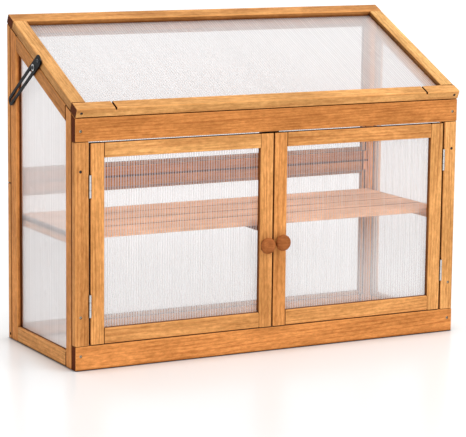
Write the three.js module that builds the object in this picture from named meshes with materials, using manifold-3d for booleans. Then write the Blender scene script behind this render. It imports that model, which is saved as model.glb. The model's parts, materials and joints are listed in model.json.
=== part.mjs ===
// Wooden mini greenhouse: a timber cabinet with a sloping lid, two front doors, a slatted shelf
// and fluted sheets held in rabbets. Millimetres, +X right, +Y to the back, +Z up.
import * as THREE from 'three';
import { mergeVertices } from 'three/addons/utils/BufferGeometryUtils.js';
import Module from 'manifold-3d';

const wasm = await Module();
wasm.setup();

// Cabinet
const bodyWidth = 900;
const bodyDepth = 352;
const frontHeight = 510; // roof line at the front face
const roofAngle = THREE.MathUtils.degToRad(24.85);
const boardThick = 18;
const frameWidth = 30; // face width of stiles and rails
const plinthHeight = 50;
const fasciaHeight = 47;
const sideBottomRail = 32;
const backSplit = 336; // height of the lower of the two back frames
const edgeRound = 2.2;
const jointGap = 0.3; // between pieces that are glued, screwed or seated together
const cutOverrun = 5;

// Glazing
const reveal = 13; // from a frame's outer face to the sheet
const rabbetWidth = 8;
const sheetThick = 4;
const sheetClearance = 1;
const skinThick = 0.4; // each of the sheet's two walls
const ribThick = 0.4;
const flutePitch = 8.3;

// Doors
const doorMeetingGap = 3;
const doorTopGap = 3.2;
const doorBottomGap = 1.5;
const doorBottomRail = 32;
const hingeInsetNear = 79.5; // from a door's end to the middle of the nearer hinge
const hingeInsetFar = 86.3;
const hingeProud = 1.2; // barrel axis in front of the door's face

// Butt hinges
const hingeHeight = 46;
const leafWidth = 16;
const leafThick = 1.2;
const leafInner = 0.4; // from the barrel's axis plane to the leaf
const knuckleRadius = 2.4;
const knuckleGap = 0.4;
const pinRadius = 1.2;
const pinClearance = 0.3;

// Knobs
const knobHeight = 230.2; // of the right one
const knobDrop = 4; // by which the left one sits lower
const knobAsideLeft = 3; // from the middle of the left lock stile towards its door
const knobAsideRight = 0;
const knobRadius = 17;
const knobNeckRadius = 6.5;
const knobFootRadius = 8.5;
const knobFootHeight = 2.5;
const knobEquator = 12.5; // from the door's face to the widest ring
const knobLength = 24;

// Lid
const lidThick = 20;
const lidGap = 1.4; // from the roof line to the lid's underside
const lidBackRail = 30;
const lidFrontRail = 28;
const lidHingeInset = 140; // from a side to the middle of a lid hinge
const kerfInsetLeft = 85.6; // from a side to the drainage kerf near it
const kerfInsetRight = 82.6;
const kerfWidth = 4;
const kerfDepth = 6;

// Lid stay
const lidOpenAngle = THREE.MathUtils.degToRad(49);
const stayFromBack = 188.5; // down the slope from the lid's back edge to the lid screw
const stayRise = 16; // from the lid's underside to the lid screw
const stayClosedReach = 29.5; // from the lid screw to the slot's stud with the lid shut
const stayAngle = THREE.MathUtils.degToRad(33.3); // slope of the closed arm
const armThick = 2;
const armHeadRadius = 12;
const slotWidth = 7.5;
const slotStrip = 6.8; // steel on either side of the slot
const slotPlay = 1;
const stayRunningGap = 0.3;
const spacerLength = 2.5; // holds the arm off the cabinet's side
const spacerRadius = 6;
const washerRadius = 7;
const washerThick = 1.2;
const screwHeadRadius = 4.5;
const screwHeadHeight = 2.2;
const lidScrewRadius = 2.5;
const lidScrewHeadRadius = 4;

// Shelf
const shelfTop = 271.5;
const shelfFrontGap = 12; // behind the doors
const shelfBackGap = 4; // before the back frame
const slatCount = 4;
const slatGap = 2.5;
const slatThick = 9;
const slatRound = 1.5;
const shelfEndGap = 1.5;
const cleatWidth = 18;
const cleatHeight = 16;
const battenInset = 6;
const battenWeld = 1;

// Door catch
const catchWidth = 40;
const catchDepth = 12;
const catchOverlap = 13; // below the top of the doors
const catchRise = 16; // above the fascia's lower edge
const catchRound = 2;
const catchHoleRadius = 2;
const catchHoleInset = 7;

// Steps on round forms
const edgeSteps = 1;
const pinSides = 8;
const knobSides = 18;
const knobRings = 4;
const studSides = 12;
const armSteps = 6;

// Finishes
const honeyWood = { color: 0xd6924f, roughness: 0.6, metalness: 0 };
const redWood = { color: 0xa85f38, roughness: 0.5, metalness: 0 };
const paleWood = { color: 0xd9a878, roughness: 0.65, metalness: 0 };
const clearSheet = { color: 0xeef0f2, roughness: 0.2, metalness: 0, transparent: true, opacity: 0.45 };
const zinc = { color: 0xc8ccd0, roughness: 0.35, metalness: 0.9 };
const blackSteel = { color: 0x26282a, roughness: 0.45, metalness: 0.6 };
const catchPlastic = { color: 0x5a3a26, roughness: 0.5, metalness: 0 };

// Booleans
function toSolid(geometry) {
  const bare = geometry.index ? geometry.toNonIndexed() : geometry.clone();
  bare.deleteAttribute('normal');
  bare.deleteAttribute('uv');
  const merged = mergeVertices(bare);
  return new wasm.Manifold(new wasm.Mesh({
    numProp: 3,
    vertProperties: new Float32Array(merged.attributes.position.array),
    triVerts: new Uint32Array(merged.index.array),
  }));
}

function toGeometry(solid) {
  const mesh = solid.getMesh();
  const geometry = new THREE.BufferGeometry();
  geometry.setAttribute('position', new THREE.BufferAttribute(mesh.vertProperties, mesh.numProp));
  geometry.setIndex(new THREE.BufferAttribute(mesh.triVerts, 1));
  const faceted = geometry.toNonIndexed();
  faceted.computeVertexNormals();
  return faceted;
}

function cut(geometry, ...tools) {
  return toGeometry(tools.reduce((solid, tool) => solid.subtract(toSolid(tool)), toSolid(geometry)));
}

function join(...geometries) {
  return toGeometry(geometries.map(toSolid).reduce((whole, solid) => whole.add(solid)));
}

function keepInside(geometry, tool) {
  return toGeometry(toSolid(geometry).intersect(toSolid(tool)));
}

// Basic forms
function piece(name, geometry, finish) {
  const mesh = new THREE.Mesh(geometry, new THREE.MeshStandardMaterial(finish));
  mesh.name = name;
  return mesh;
}

function block(x0, x1, y0, y1, z0, z1) {
  return new THREE.BoxGeometry(x1 - x0, y1 - y0, z1 - z0)
    .translate((x0 + x1) / 2, (y0 + y1) / 2, (z0 + z1) / 2);
}

function roundedRectangle(width, height, radius) {
  const x = width / 2 - radius;
  const y = height / 2 - radius;
  const shape = new THREE.Shape();
  shape.absarc(x, y, radius, 0, Math.PI / 2);
  shape.absarc(-x, y, radius, Math.PI / 2, Math.PI);
  shape.absarc(-x, -y, radius, Math.PI, 1.5 * Math.PI);
  shape.absarc(x, -y, radius, 1.5 * Math.PI, 2 * Math.PI);
  return shape;
}

function extrude(shape, depth, curveSegments = edgeSteps) {
  return new THREE.ExtrudeGeometry(shape, { depth, curveSegments, bevelEnabled: false });
}

function rodAlongZ(radius, z0, z1, sides) {
  return new THREE.CylinderGeometry(radius, radius, z1 - z0, sides)
    .rotateX(Math.PI / 2)
    .translate(0, 0, (z0 + z1) / 2);
}

// A timber with eased long edges. It lies in a frame's own XY plane with the grain along x or y,
// its outer face at z = 0 and its thickness away from where the frame faces.
function board(grain, left, right, bottom, top, thick = boardThick, facing = 1, round = edgeRound) {
  const alongX = grain === 'x';
  const across = alongX ? top - bottom : right - left;
  const length = alongX ? right - left : top - bottom;
  const x = new THREE.Vector3(1, 0, 0);
  const y = new THREE.Vector3(0, 1, 0);
  const z = new THREE.Vector3(0, 0, 1);
  const lay = new THREE.Matrix4();
  if (alongX) lay.makeBasis(y, z, x);
  else lay.makeBasis(x, z.clone().negate(), y);
  return extrude(roundedRectangle(across, thick, round), length)
    .applyMatrix4(lay)
    .translate(
      alongX ? left : (left + right) / 2,
      alongX ? (bottom + top) / 2 : bottom,
      -facing * thick / 2,
    );
}

// A flat outline between two depths below a frame's outer face
function layer(shape, from, to, facing = 1) {
  return extrude(shape, to - from).translate(0, 0, facing > 0 ? -to : from);
}

function rectangle(left, right, bottom, top) {
  return new THREE.Shape([
    new THREE.Vector2(left, bottom),
    new THREE.Vector2(right, bottom),
    new THREE.Vector2(right, top),
    new THREE.Vector2(left, top),
  ]);
}

// Roof line
function roofAt(y) {
  return frontHeight + y * Math.tan(roofAngle);
}

// A point up the slope from the front face and square to it above the roof line
function roofPoint(along, above) {
  return new THREE.Vector3(
    0,
    along * Math.cos(roofAngle) - above * Math.sin(roofAngle),
    frontHeight + along * Math.sin(roofAngle) + above * Math.cos(roofAngle),
  );
}

// Everything above the roof line, in the coordinates of the group that it trims
function aboveRoof(group) {
  group.updateMatrix();
  return block(-bodyWidth, bodyWidth, -bodyDepth, 2 * bodyDepth, 0, bodyDepth)
    .rotateX(roofAngle)
    .translate(0, 0, frontHeight)
    .applyMatrix4(group.matrix.clone().invert());
}

// Twin-wall sheet: two skins joined by ribs. The flutes between them run along y, open at both ends.
function twinWall(outline, front, facing) {
  const slab = layer(outline, front, front + sheetThick, facing);
  slab.computeBoundingBox();
  const { min, max } = slab.boundingBox;
  const count = Math.floor((max.x - min.x - ribThick) / flutePitch);
  const start = (min.x + max.x - count * flutePitch + ribThick) / 2;
  const flutes = [];
  for (let flute = 0; flute < count; flute += 1) {
    const left = start + flute * flutePitch;
    flutes.push(block(
      left, left + flutePitch - ribThick, min.y - cutOverrun, max.y + cutOverrun,
      min.z + skinThick, max.z - skinThick,
    ));
  }
  return cut(slab, ...flutes);
}

// Glazed frames. Stiles or rails run through at the corners, and a stopped rabbet behind the
// reveal takes the sheet.
function glazedFrame(spec) {
  const { names, width, height, rails, thick, facing, stilesThrough } = spec;
  const half = width / 2;
  const openLeft = -half + frameWidth;
  const openRight = half - frameWidth;
  const openTop = height - rails.top;
  const lip = rabbetWidth;
  const rabbet = layer(
    rectangle(openLeft - lip, openRight + lip, rails.bottom - lip, openTop + lip),
    reveal, thick + cutOverrun, facing,
  );
  const railEnd = stilesThrough ? openRight - jointGap : half;
  const stileBottom = stilesThrough ? 0 : rails.bottom + jointGap;
  const stileTop = stilesThrough ? height : openTop - jointGap;
  const timbers = {
    left: board('y', -half, openLeft, stileBottom, stileTop, thick, facing),
    right: board('y', openRight, half, stileBottom, stileTop, thick, facing),
    bottom: board('x', -railEnd, railEnd, 0, rails.bottom, thick, facing),
    top: board('x', -railEnd, railEnd, openTop, height, thick, facing),
  };
  const group = new THREE.Group();
  for (const [place, timber] of Object.entries(timbers)) {
    const tools = (spec.tools && spec.tools[place]) || [];
    group.add(piece(names[place], cut(timber, rabbet, ...tools), honeyWood));
  }
  const seat = lip - sheetClearance;
  const sheet = rectangle(openLeft - seat, openRight + seat, rails.bottom - seat, openTop + seat);
  group.add(piece(names.sheet, twinWall(sheet, reveal + jointGap, facing), clearSheet));
  return group;
}

// Front frame
const doorwayHalf = bodyWidth / 2 - frameWidth;
const fasciaBottom = frontHeight - fasciaHeight;

function frontFrame() {
  const group = new THREE.Group();
  group.rotation.x = Math.PI / 2;
  const roof = aboveRoof(group);
  const half = bodyWidth / 2;
  const highest = roofAt(boardThick) + cutOverrun;
  const stileBottom = plinthHeight + jointGap;
  const stileTop = fasciaBottom - jointGap;
  group.add(
    piece('front_plinth', board('x', -half, half, 0, plinthHeight), honeyWood),
    piece('front_fascia', cut(board('x', -half, half, fasciaBottom, highest), roof), honeyWood),
    piece('front_left_stile', board('y', -half, -doorwayHalf, stileBottom, stileTop), honeyWood),
    piece('front_right_stile', board('y', doorwayHalf, half, stileBottom, stileTop), honeyWood),
  );
  return group;
}

// Side frames, whose own X runs to the back and own Z to the right
function slopedOutline(front, back, bottom, belowRoof) {
  const drop = belowRoof / Math.cos(roofAngle);
  return new THREE.Shape([
    new THREE.Vector2(front, bottom),
    new THREE.Vector2(back, bottom),
    new THREE.Vector2(back, roofAt(back) - drop),
    new THREE.Vector2(front, roofAt(front) - drop),
  ]);
}

function sideFrame(side) {
  const name = side < 0 ? 'left_side' : 'right_side';
  const group = new THREE.Group();
  group.rotation.set(Math.PI / 2, Math.PI / 2, 0);
  group.position.x = side * bodyWidth / 2;
  const roof = aboveRoof(group);
  const front = boardThick + jointGap;
  const back = bodyDepth - boardThick - jointGap;
  const openFront = front + frameWidth;
  const openBack = back - frameWidth;
  const highest = roofAt(back) + cutOverrun;
  const beyond = boardThick + cutOverrun;
  const lip = rabbetWidth;
  const rabbet = layer(
    slopedOutline(openFront - lip, openBack + lip, sideBottomRail - lip, frameWidth - lip),
    reveal, beyond, side,
  );
  const railLength = (openBack - openFront) / Math.cos(roofAngle) + 2 * frameWidth;
  const middle = (openFront + openBack) / 2;
  const slopedRail = board('x', -railLength / 2, railLength / 2, -frameWidth, 0, boardThick, side)
    .rotateZ(roofAngle)
    .translate(middle, roofAt(middle), 0);
  const betweenStiles = block(openFront + jointGap, openBack - jointGap, 0, highest, -beyond, beyond);
  const frontStile = board('y', front, openFront, 0, highest, boardThick, side);
  const backStile = board('y', openBack, back, 0, highest, boardThick, side);
  const bottomRail = board(
    'x', openFront + jointGap, openBack - jointGap, 0, sideBottomRail, boardThick, side,
  );
  const seat = lip - sheetClearance;
  const sheet = slopedOutline(openFront - seat, openBack + seat, sideBottomRail - seat, frameWidth - seat);
  group.add(
    piece(`${name}_front_stile`, cut(frontStile, rabbet, roof), honeyWood),
    piece(`${name}_back_stile`, cut(backStile, rabbet, roof), honeyWood),
    piece(`${name}_bottom_rail`, cut(bottomRail, rabbet), honeyWood),
    piece(`${name}_sloped_rail`, cut(keepInside(slopedRail, betweenStiles), rabbet), honeyWood),
    piece(`${name}_sheet`, twinWall(sheet, reveal + jointGap, side), clearSheet),
  );
  return group;
}

// Back, made of two frames one above the other
function backFrame(level) {
  const upper = level === 'upper';
  const bottom = upper ? backSplit + jointGap : 0;
  const highest = roofAt(bodyDepth) + cutOverrun;
  const group = new THREE.Group();
  group.rotation.x = Math.PI / 2;
  group.position.set(0, bodyDepth, bottom);
  const tools = upper ? [aboveRoof(group)] : [];
  const names = {};
  for (const place of ['left', 'right']) names[place] = `back_${level}_${place}_stile`;
  for (const place of ['top', 'bottom']) names[place] = `back_${level}_${place}_rail`;
  names.sheet = `back_${level}_sheet`;
  const height = (upper ? highest : backSplit) - bottom;
  const topRail = upper ? frameWidth + cutOverrun : frameWidth;
  group.add(...glazedFrame({
    names,
    width: bodyWidth,
    height,
    rails: { bottom: frameWidth, top: topRail },
    thick: boardThick,
    facing: -1,
    stilesThrough: true,
    tools: { left: tools, right: tools, top: tools },
  }).children);
  return group;
}

// Butt hinge: barrel along Z, leaves along +Y. The fixed leaf seats its +X face and holds the
// pin between two knuckles; the moving leaf seats its -X face and turns on its middle knuckle.
const leafOuter = leafInner + leafThick;

function hingeLeaf(fixed) {
  const side = fixed ? 1 : -1;
  const near = Math.min(side * leafInner, side * leafOuter);
  const far = Math.max(side * leafInner, side * leafOuter);
  const plateStart = knuckleRadius + knuckleGap;
  const knuckle = (hingeHeight - 2 * knuckleGap) / 3;
  const half = hingeHeight / 2;
  const spans = fixed
    ? [[-half, -half + knuckle], [half - knuckle, half]]
    : [[-knuckle / 2, knuckle / 2]];
  const parts = [block(near, far, plateStart, leafWidth, -half, half)];
  for (const [low, high] of spans) {
    parts.push(block(near, far, 0, plateStart + leafThick, low, high));
    parts.push(rodAlongZ(knuckleRadius, low, high, pinSides));
  }
  if (fixed) return join(...parts, rodAlongZ(pinRadius, -half, half, pinSides));
  const bore = rodAlongZ(pinRadius + pinClearance, -half, half, pinSides);
  return cut(join(...parts), bore);
}

function hingePiece(name, fixed, position, turn) {
  const leaf = piece(name, hingeLeaf(fixed), zinc);
  leaf.position.copy(position);
  leaf.quaternion.setFromRotationMatrix(turn);
  return leaf;
}

// Doors. Each hangs on an upright axis just in front of its outer edge.
const hingeSpace = 2 * (leafOuter + jointGap);
const doorHingeX = doorwayHalf - hingeSpace / 2;
const doorBottom = plinthHeight + doorBottomGap;
const doorHeight = fasciaBottom - doorTopGap - doorBottom;
const doorWidth = doorwayHalf - hingeSpace - doorMeetingGap / 2;

function knob() {
  const profile = [new THREE.Vector2(0, 0), new THREE.Vector2(knobFootRadius, 0)];
  profile.push(new THREE.Vector2(knobFootRadius, knobFootHeight / 2));
  profile.push(new THREE.Vector2(knobNeckRadius, knobFootHeight));
  const neckAngle = Math.acos(knobNeckRadius / knobRadius);
  const under = (knobEquator - knobFootHeight) / 2 / Math.sin(neckAngle);
  for (let ring = 0; ring < knobRings; ring += 1) {
    const angle = neckAngle * (1 - ring / knobRings);
    const height = knobEquator - under * Math.sin(angle);
    profile.push(new THREE.Vector2(knobRadius * Math.cos(angle), height));
  }
  const dome = knobLength - knobEquator;
  for (let ring = 0; ring < knobRings; ring += 1) {
    const angle = (Math.PI / 2) * (ring / knobRings);
    const height = knobEquator + dome * Math.sin(angle);
    profile.push(new THREE.Vector2(knobRadius * Math.cos(angle), height));
  }
  profile.push(new THREE.Vector2(0, knobLength));
  return new THREE.LatheGeometry(profile, knobSides).rotateX(Math.PI / 2);
}

function hingeHeights(side) {
  const near = doorBottom + (side < 0 ? hingeInsetNear : hingeInsetFar);
  const far = doorBottom + doorHeight - (side < 0 ? hingeInsetFar : hingeInsetNear);
  return { lower: near, upper: far };
}

function doorLeaf(side) {
  const name = side < 0 ? 'left_door' : 'right_door';
  const hingePlace = side < 0 ? 'left' : 'right';
  const lockPlace = side < 0 ? 'right' : 'left';
  const swing = new THREE.Group();
  swing.position.set(side * doorHingeX, -hingeProud, 0);
  const frame = glazedFrame({
    names: {
      [hingePlace]: `${name}_hinge_stile`,
      [lockPlace]: `${name}_lock_stile`,
      top: `${name}_top_rail`,
      bottom: `${name}_bottom_rail`,
      sheet: `${name}_sheet`,
    },
    width: doorWidth,
    height: doorHeight,
    rails: { bottom: doorBottomRail, top: frameWidth },
    thick: boardThick,
    facing: 1,
    stilesThrough: true,
  });
  const aside = side < 0 ? knobAsideLeft : knobAsideRight;
  const height = side < 0 ? knobHeight - knobDrop : knobHeight;
  const handle = piece(`${name}_knob`, knob(), redWood);
  handle.position.set(side * (frameWidth / 2 + aside - doorWidth / 2), height - doorBottom, jointGap);
  frame.rotation.x = Math.PI / 2;
  frame.position.set(-side * (hingeSpace / 2 + doorWidth / 2), hingeProud, doorBottom);
  frame.add(handle);
  swing.add(frame);
  const turn = new THREE.Matrix4().makeRotationY(side > 0 ? 0 : Math.PI);
  for (const [level, height] of Object.entries(hingeHeights(side))) {
    const place = new THREE.Vector3(0, 0, height);
    swing.add(hingePiece(`${name}_${level}_hinge_leaf`, false, place, turn));
  }
  return swing;
}

function doorFixedLeaves(side) {
  const name = side < 0 ? 'left_door' : 'right_door';
  const turn = new THREE.Matrix4().makeRotationY(side > 0 ? 0 : Math.PI);
  return Object.entries(hingeHeights(side)).map(([level, height]) => {
    const place = new THREE.Vector3(side * doorHingeX, -hingeProud, height);
    return hingePiece(`${name}_${level}_hinge_pin_leaf`, true, place, turn);
  });
}

// Lid. It hangs on two surface hinges whose barrels lie outside the corner of lid and back.
const lidLength = (bodyDepth + lidGap * Math.sin(roofAngle)) / Math.cos(roofAngle);
const lidHingeOffset = leafOuter + jointGap;
const lidCorner = roofPoint(lidLength, lidGap);
const lidPivot = new THREE.Vector3(
  0,
  bodyDepth + lidHingeOffset,
  lidCorner.z + lidHingeOffset * (1 - Math.cos(roofAngle)) / Math.sin(roofAngle),
);

function kerf(x) {
  return block(
    x - kerfWidth / 2, x + kerfWidth / 2, -cutOverrun, lidFrontRail + cutOverrun, -kerfDepth, cutOverrun,
  );
}

function lidFrame() {
  const swing = new THREE.Group();
  swing.position.copy(lidPivot);
  const frame = glazedFrame({
    names: {
      left: 'lid_left_stile',
      right: 'lid_right_stile',
      top: 'lid_back_rail',
      bottom: 'lid_front_rail',
      sheet: 'lid_sheet',
    },
    width: bodyWidth,
    height: lidLength,
    rails: { bottom: lidFrontRail, top: lidBackRail },
    thick: lidThick,
    facing: 1,
    stilesThrough: false,
    tools: {
      bottom: [kerf(kerfInsetLeft - bodyWidth / 2), kerf(bodyWidth / 2 - kerfInsetRight)],
    },
  });
  frame.rotation.x = roofAngle;
  frame.position.copy(roofPoint(0, lidGap + lidThick).sub(lidPivot));
  swing.add(frame);
  const out = new THREE.Vector3(0, Math.cos(roofAngle), Math.sin(roofAngle));
  const up = new THREE.Vector3(0, -Math.sin(roofAngle), Math.cos(roofAngle));
  const turn = new THREE.Matrix4().makeBasis(out, up, new THREE.Vector3(1, 0, 0));
  for (const side of [-1, 1]) {
    const place = new THREE.Vector3(side * (bodyWidth / 2 - lidHingeInset), 0, 0);
    swing.add(hingePiece(`lid_${side < 0 ? 'left' : 'right'}_hinge_leaf`, false, place, turn));
  }
  return swing;
}

function lidFixedLeaves() {
  const toWood = new THREE.Vector3(0, -1, 0);
  const down = new THREE.Vector3(0, 0, -1);
  const turn = new THREE.Matrix4().makeBasis(toWood, down, new THREE.Vector3(1, 0, 0));
  return [-1, 1].map((side) => {
    const place = lidPivot.clone().setX(side * (bodyWidth / 2 - lidHingeInset));
    return hingePiece(`lid_${side < 0 ? 'left' : 'right'}_hinge_pin_leaf`, true, place, turn);
  });
}

// Lid stay: a slotted arm on the left side. It hangs from a screw in the lid and runs on a
// bush on the sloped rail; with the lid open the bush stands at the slot's far end.
const lidScrew = roofPoint(lidLength - stayFromBack, lidGap + stayRise);
const stayLine = new THREE.Vector3(0, Math.cos(stayAngle), -Math.sin(stayAngle));
const slotBush = lidScrew.clone().addScaledVector(stayLine, stayClosedReach);

function stayReach(angle) {
  const axis = new THREE.Vector3(-1, 0, 0);
  return lidScrew.clone().sub(lidPivot).applyAxisAngle(axis, angle).add(lidPivot).distanceTo(slotBush);
}

const slotStart = stayClosedReach - slotPlay;
const slotEnd = stayReach(lidOpenAngle) + slotPlay;
const armInner = jointGap + spacerLength + stayRunningGap;
const armOuter = armInner + armThick;

// Own X runs down the arm from the lid screw and own Z out of the cabinet's side
function stayArm() {
  const tailRadius = slotWidth / 2 + slotStrip;
  const lean = Math.asin((armHeadRadius - tailRadius) / slotEnd);
  const outline = new THREE.Shape();
  outline.absarc(0, 0, armHeadRadius, Math.PI / 2 - lean, 1.5 * Math.PI + lean);
  outline.absarc(slotEnd, 0, tailRadius, -Math.PI / 2 + lean, Math.PI / 2 - lean);
  const slot = new THREE.Path();
  slot.absarc(slotStart, 0, slotWidth / 2, Math.PI / 2, 1.5 * Math.PI);
  slot.absarc(slotEnd, 0, slotWidth / 2, -Math.PI / 2, Math.PI / 2);
  const eye = new THREE.Path();
  eye.absarc(0, 0, lidScrewRadius + stayRunningGap, 0, 2 * Math.PI);
  outline.holes.push(slot, eye);
  return extrude(outline, armThick, armSteps).translate(0, 0, armInner);
}

// A shouldered stud: spacer against the wood, shank through the arm, then a washer or none
// under a round head
function stud(shank, head, washer = 0) {
  const shankEnd = armOuter + stayRunningGap;
  const headStart = shankEnd + (washer ? washerThick : 0);
  const profile = [
    [0, jointGap],
    [spacerRadius, jointGap],
    [spacerRadius, jointGap + spacerLength],
    [shank, jointGap + spacerLength],
    [shank, shankEnd],
  ];
  if (washer) profile.push([washer, shankEnd], [washer, headStart]);
  profile.push(
    [head, headStart],
    [head, headStart + screwHeadHeight / 2],
    [head / 2, headStart + screwHeadHeight],
    [0, headStart + screwHeadHeight],
  );
  const points = profile.map(([radius, out]) => new THREE.Vector2(radius, out));
  return new THREE.LatheGeometry(points, studSides).rotateX(Math.PI / 2);
}

function lidStay() {
  const group = new THREE.Group();
  group.position.copy(lidScrew).setX(-bodyWidth / 2);
  const outward = new THREE.Vector3(-1, 0, 0);
  const across = outward.clone().cross(stayLine);
  group.quaternion.setFromRotationMatrix(new THREE.Matrix4().makeBasis(stayLine, across, outward));
  const bushShank = slotWidth / 2 - stayRunningGap;
  const bush = piece('stay_slot_bush', stud(bushShank, screwHeadRadius, washerRadius), zinc);
  bush.position.x = stayClosedReach;
  group.add(
    piece('stay_arm', stayArm(), blackSteel),
    piece('stay_lid_screw', stud(lidScrewRadius, lidScrewHeadRadius), zinc),
    bush,
  );
  return group;
}

// Shelf, its cleats and the catch behind the doors
const shelfFront = boardThick + shelfFrontGap;
const shelfBack = bodyDepth - boardThick - shelfBackGap;

function shelf() {
  const group = new THREE.Group();
  group.position.z = shelfTop;
  const half = bodyWidth / 2 - boardThick - shelfEndGap;
  const pitch = (shelfBack - shelfFront + slatGap) / slatCount;
  const parts = [];
  for (let slat = 0; slat < slatCount; slat += 1) {
    const front = shelfFront + slat * pitch;
    parts.push(board('x', -half, half, front, front + pitch - slatGap, slatThick, 1, slatRound));
  }
  const batten = board(
    'y', -cleatWidth / 2, cleatWidth / 2, shelfFront + battenInset, shelfBack - battenInset,
    cleatHeight + battenWeld,
  );
  parts.push(batten.translate(0, 0, battenWeld - slatThick));
  group.add(piece('shelf', join(...parts), paleWood));
  const wall = bodyWidth / 2 - boardThick - jointGap;
  for (const side of [-1, 1]) {
    const inner = side * (wall - cleatWidth);
    const outer = side * wall;
    const cleat = board(
      'y', Math.min(inner, outer), Math.max(inner, outer), shelfFront, shelfBack, cleatHeight,
    ).translate(0, 0, -slatThick - jointGap);
    group.add(piece(`${side < 0 ? 'left' : 'right'}_shelf_cleat`, cleat, paleWood));
  }
  return group;
}

function doorCatch() {
  const bottom = fasciaBottom - doorTopGap - catchOverlap;
  const top = fasciaBottom + catchRise;
  const outline = roundedRectangle(catchWidth, top - bottom, catchRound);
  for (const side of [-1, 1]) {
    const hole = new THREE.Path();
    const rise = fasciaBottom + catchRise / 2 - (bottom + top) / 2;
    hole.absarc(side * (catchWidth / 2 - catchHoleInset), rise, catchHoleRadius, 0, 2 * Math.PI);
    outline.holes.push(hole);
  }
  const body = extrude(outline, catchDepth, armSteps / 2)
    .rotateX(Math.PI / 2)
    .translate(0, boardThick + jointGap + catchDepth, (bottom + top) / 2);
  return piece('door_catch', body, catchPlastic);
}

// Assembly, centred over the middle of its own footprint
const greenhouse = new THREE.Group();
greenhouse.name = 'mini_greenhouse';
greenhouse.add(
  frontFrame(),
  sideFrame(-1),
  sideFrame(1),
  backFrame('lower'),
  backFrame('upper'),
  shelf(),
  doorCatch(),
  doorLeaf(-1),
  doorLeaf(1),
  ...doorFixedLeaves(-1),
  ...doorFixedLeaves(1),
  lidFrame(),
  ...lidFixedLeaves(),
  lidStay(),
);
const footprint = new THREE.Box3().setFromObject(greenhouse, true).getCenter(new THREE.Vector3());
greenhouse.position.set(-footprint.x, -footprint.y, 0);

export default greenhouse;
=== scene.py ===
# Looks of the wooden mini greenhouse: stained softwood, fluted clear sheets, zinc and black steel.
# Metres, +X right, +Y to the back, +Z up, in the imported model's own coordinates.
import json
import math
import random

import bmesh
import bpy
from mathutils import Matrix, Vector
from mathutils.bvhtree import BVHTree


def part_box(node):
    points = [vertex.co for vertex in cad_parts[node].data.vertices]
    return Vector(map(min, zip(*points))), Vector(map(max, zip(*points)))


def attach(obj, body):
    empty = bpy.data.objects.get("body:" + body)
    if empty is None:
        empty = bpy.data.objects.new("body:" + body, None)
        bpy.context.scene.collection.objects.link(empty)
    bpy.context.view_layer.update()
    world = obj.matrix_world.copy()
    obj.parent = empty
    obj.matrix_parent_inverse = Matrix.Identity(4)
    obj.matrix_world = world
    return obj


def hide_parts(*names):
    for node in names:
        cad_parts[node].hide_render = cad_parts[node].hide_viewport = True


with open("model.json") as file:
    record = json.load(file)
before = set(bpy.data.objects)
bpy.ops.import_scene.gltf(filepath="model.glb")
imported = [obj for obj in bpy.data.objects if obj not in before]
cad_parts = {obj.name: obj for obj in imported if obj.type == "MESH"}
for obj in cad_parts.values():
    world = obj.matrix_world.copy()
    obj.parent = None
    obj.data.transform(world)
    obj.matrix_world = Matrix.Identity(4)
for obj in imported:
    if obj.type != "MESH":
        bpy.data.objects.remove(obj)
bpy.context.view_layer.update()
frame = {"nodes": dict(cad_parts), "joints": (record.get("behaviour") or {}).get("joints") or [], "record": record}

MM = 0.001
X, Y, Z = Vector((1, 0, 0)), Vector((0, 1, 0)), Vector((0, 0, 1))

# Camera, fitted to the photograph
IMAGE_WIDTH = 466
FOCAL_PIXELS = 2169.56
SENSOR = 36.0
CAMERA_PLACE = Vector((-2.16967, -4.04900, 1.02443))
CAMERA_YAW = math.radians(28.1557)
CAMERA_PITCH = math.radians(9.5028)
CAMERA_ROLL = math.radians(0.61523)
VIEW_END = 200

# Timber
ROOF_ANGLE = math.radians(24.85)
UP_SLOPE = Vector((0, math.cos(ROOF_ANGLE), math.sin(ROOF_ANGLE)))
OFF_SLOPE = Vector((0, -math.sin(ROOF_ANGLE), math.cos(ROOF_ANGLE)))
ARRIS = 1.1 * MM  # width of the rounding along a board's edges
SOFT_ARRIS = 2.0 * MM  # the same on the side and back frames
PITH_NEAR, PITH_FAR = 25 * MM, 80 * MM  # from the middle of the board
GRAIN_TILT = 0.03
GRAIN_SHIFT = 4  # along the grain, so that no two boards show the same wood
BATH_SPREAD = (0.95, 1.05)  # how much one bath of stain varies in lightness
RING_SPACING = 6.5 * MM
RING_PHASE = 20  # radians that Blender's wave texture puts in one of its own units
RING_STRETCH = 0.05
RING_WAVER = 9.0
RING_DEPTH = 0.55  # how much of the late wood's colour the rings bring
FIBRE_DEPTH = 0.54  # the same for the fibres
WOOD_NOISES = {  # stretch along the grain, scale, detail and roughness
    "fibre": (0.03, 700.0, 4.0, 0.65),
    "streak": (0.05, 110.0, 3.0, 0.6),
    "blotch": (0.25, 24.0, 3.0, 0.55),
    "mottle": (0.4, 160.0, 4.0, 0.7),
}
KNOT_SCALE = 14.0
KNOT_STRETCH = (0.35, 0.9, 0.9)
KNOTS_ABOVE = 0.80  # share of the wood's cells without a knot
KNOT_CORE, KNOT_EDGE = 0.03, 0.11  # radii where a knot starts and ends to fade
KNOT_DEPTH = 0.75
WOOD_GLOSS = 0.05
WOOD_RELIEF = 0.25 * MM
STRIPS = 4  # slats of the shelf

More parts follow.
